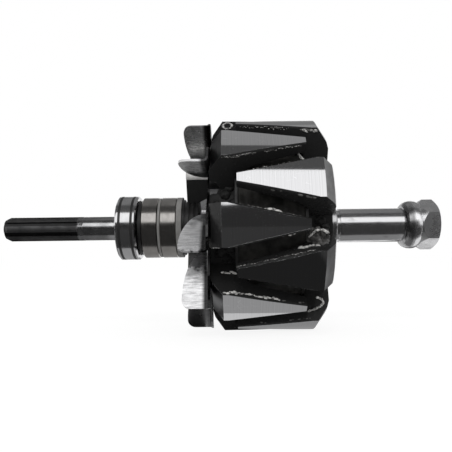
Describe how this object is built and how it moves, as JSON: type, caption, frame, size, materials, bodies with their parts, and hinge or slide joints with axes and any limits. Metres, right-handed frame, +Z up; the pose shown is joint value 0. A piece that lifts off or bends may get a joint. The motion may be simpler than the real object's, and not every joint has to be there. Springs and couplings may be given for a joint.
{
  "type": "claw-pole alternator rotor",
  "caption": "Claw-pole alternator rotor: interleaved pole pieces round a field coil, rear fan, slip rings, rear ball bearing and splined tail, front journal with spring washer and pulley nut.",
  "frame": {"origin": "on the shaft axis, at the middle of the rear bearing", "axes": "+X along the shaft towards the pulley nut, +Z up, -Y towards the camera of the picture"},
  "size_m": [0.2164, 0.104, 0.104],
  "materials": {
    "ground_steel": "ground and polished",
    "pole_steel": "turned pole faces, black varnish between them",
    "fan_steel": "stamped sheet with scratches",
    "plated_steel": "bright plating",
    "ring_metal": "turned and run in",
    "winding": "enamelled wire under varnish",
    "pale_moulding": "moulded",
    "dark_moulding": "moulded, varnish-soaked",
    "seal_rubber": "matt"
  },
  "bodies": {
    "rotor": {"shaft": "ground_steel", "rear_claw": "pole_steel", "front_claw": "pole_steel", "coil_bobbin": "dark_moulding", "field_coil": "winding", "coil_wrap": "dark_moulding", "fan": "fan_steel", "slip_ring_core": "pale_moulding", "slip_ring_hub": "dark_moulding", "slip_ring_outer": "ring_metal", "slip_ring_inner": "ring_metal", "lead_post_upper": "dark_moulding", "lead_post_lower": "dark_moulding", "lead_sleeve_upper": "pale_moulding", "lead_sleeve_lower": "pale_moulding", "bearing_inner_ring": "ground_steel", "bearing_balls": "ground_steel", "bearing_cage": "ring_metal", "front_collar": "ground_steel", "spring_washer": "plated_steel", "pulley_nut": "plated_steel"},
    "bearing_race": {"bearing_outer_ring": "ground_steel", "bearing_seal_rear": "seal_rubber", "bearing_seal_front": "seal_rubber", "bearing_band_rear": "dark_moulding", "bearing_band_front": "dark_moulding"}
  },
  "joints": [
    {"name": "bearing_spin", "type": "hinge", "parent": "rotor", "child": "bearing_race", "pos_m": [0, 0, 0], "axis": [1, 0, 0], "continuous": true}
  ]
}
